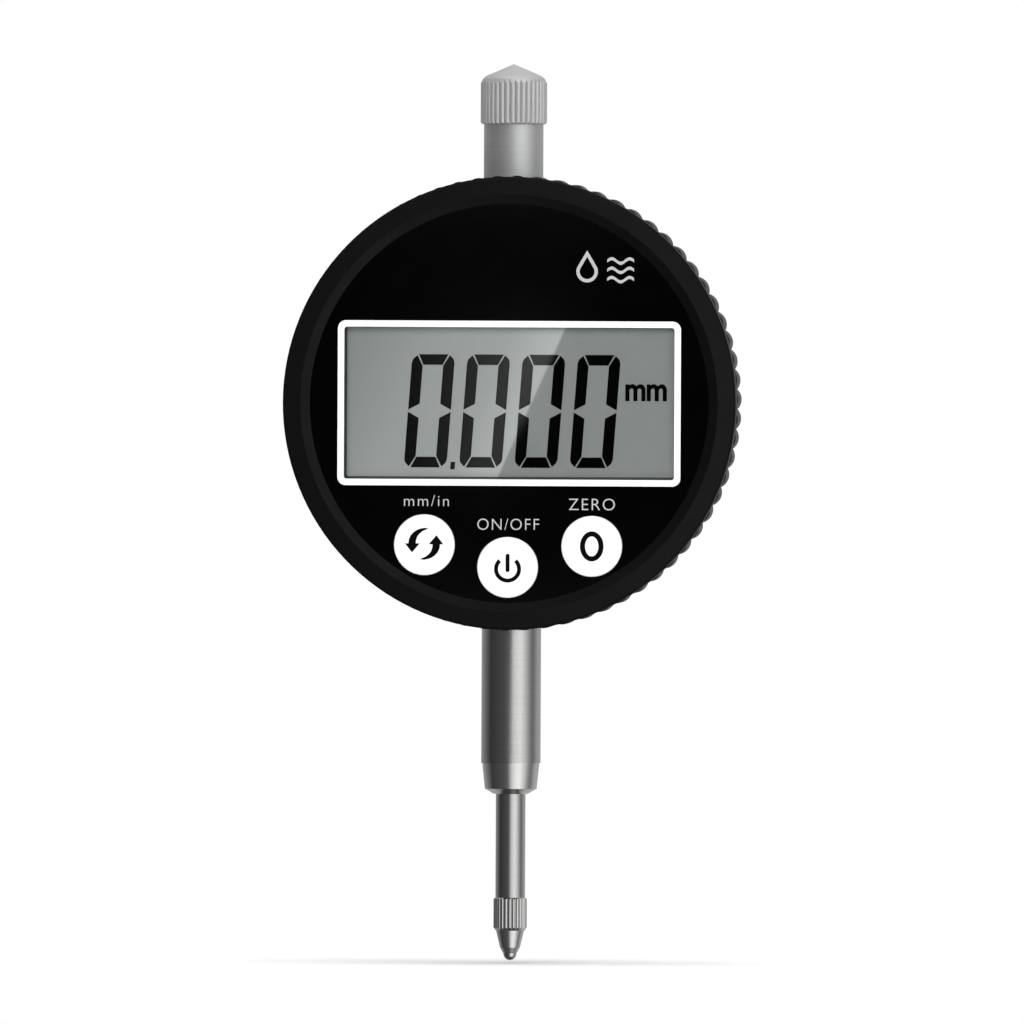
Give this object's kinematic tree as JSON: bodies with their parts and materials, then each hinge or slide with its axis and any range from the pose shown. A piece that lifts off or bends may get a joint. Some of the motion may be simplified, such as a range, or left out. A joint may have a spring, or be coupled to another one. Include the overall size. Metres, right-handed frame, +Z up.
{
  "type": "digital dial indicator",
  "caption": "Round-bodied plunger indicator with a digital display, push buttons, a plain clamping stem, a sprung spindle with a ball contact and a knurled dust cap.",
  "frame": {"origin": "middle of the clamping stem's free length, on the spindle axis", "axes": "+Z up along the spindle towards the dust cap, the display faces -Y, +X to the right of the display seen from the front"},
  "size_m": [0.0612, 0.0357, 0.1206],
  "materials": {
    "bezel": "fine matte black",
    "panel": "gloss black",
    "window_frame": "printed white",
    "window": "clear polished",
    "lcd": "satin polarised grey",
    "lcd_back": "satin",
    "reflector": "silvered film",
    "holder": "moulded white",
    "zebra": "striped silicone",
    "circuit_board": "green solder mask",
    "chip": "moulded black epoxy",
    "small_metal": "plated",
    "chip_part": "fired ceramic",
    "inner_plastic": "moulded black",
    "screw": "plated",
    "ribbon": "amber polyimide",
    "button": "semi-gloss white",
    "plunger": "moulded",
    "case": "fine textured black",
    "seal": "matte",
    "spring": "drawn wire",
    "rail": "milled",
    "stem": "ground",
    "sleeve": "satin turned",
    "bush": "turned",
    "contact_spring": "sprung bronze",
    "back_screw": "blackened",
    "door": "moulded black",
    "spindle": "ground and lapped",
    "ball": "polished carbide",
    "carrier": "milled"
  },
  "bodies": {
    "case": {"housing": "case", "retaining_wire": "spring", "bezel_seal": "seal", "stator_board": "circuit_board", "stator_screws": "screw", "guide_rail": "rail", "rail_screws": "screw", "stem_tube": "stem", "stem_nose": "stem", "wiper_seal": "seal", "lower_bush": "bush", "inner_bush": "bush", "upper_bush": "bush", "top_sleeve": "sleeve", "cap_oring": "seal", "stop_washer": "seal", "return_spring": "spring", "back_cover": "case", "back_gasket": "seal", "back_screws": "back_screw", "battery": "small_metal", "battery_holder": "inner_plastic", "battery_contact": "contact_spring", "battery_clip": "contact_spring"},
    "display_unit": {"front_bezel": "bezel", "front_panel": "panel", "window_frame": "window_frame", "display_window": "window", "lcd_front_glass": "lcd", "lcd_rear_glass": "lcd_back", "lcd_reflector": "reflector", "lcd_holder": "holder", "zebra_strips": "zebra", "main_board": "circuit_board", "controller_chip": "chip", "quartz_crystal": "small_metal", "chip_parts": "chip_part", "tact_switches": "small_metal", "display_back": "inner_plastic", "display_screws": "screw", "flex_ribbon": "ribbon"},
    "unit_key": {"unit_button": "button", "unit_plunger": "plunger"},
    "power_key": {"power_button": "button", "power_plunger": "plunger"},
    "zero_key": {"zero_button": "button", "zero_plunger": "plunger"},
    "spindle_group": {"spindle": "spindle", "contact_point": "spindle", "contact_ball": "ball", "scale_carrier": "carrier", "carrier_screw": "back_screw", "moving_grid": "circuit_board", "guide_pin": "rail"},
    "battery_hatch": {"battery_door": "door", "door_oring": "seal"},
    "cap": {"dust_cap": "sleeve"}
  },
  "joints": [
    {"name": "spindle_slide", "type": "slide", "parent": "case", "child": "spindle_group", "axis": [0, 0, 1], "range_m": [0, 0.0127], "stiffness_N_per_m": 40, "springref_m": -0.0125, "deforming": ["return_spring"]},
    {"name": "display_turn", "type": "hinge", "parent": "case", "child": "display_unit", "pos_m": [0, 0, 0.03923], "axis": [0, -1, 0], "range_deg": [-135, 135]},
    {"name": "unit_press", "type": "slide", "parent": "display_unit", "child": "unit_key", "axis": [0, 1, 0], "range_m": [0, 0.00035], "stiffness_N_per_m": 1500, "springref_m": -0.0006},
    {"name": "power_press", "type": "slide", "parent": "display_unit", "child": "power_key", "axis": [0, 1, 0], "range_m": [0, 0.00035], "stiffness_N_per_m": 1500, "springref_m": -0.0006},
    {"name": "zero_press", "type": "slide", "parent": "display_unit", "child": "zero_key", "axis": [0, 1, 0], "range_m": [0, 0.00035], "stiffness_N_per_m": 1500, "springref_m": -0.0006},
    {"name": "cap_lift", "type": "slide", "parent": "case", "child": "cap", "axis": [0, 0, 1], "range_m": [0, 0.009]},
    {"name": "battery_door_turn", "type": "hinge", "parent": "case", "child": "battery_hatch", "pos_m": [0.0155, 0.009, 0.03923], "axis": [0, 1, 0], "range_deg": [0, 90]}
  ]
}
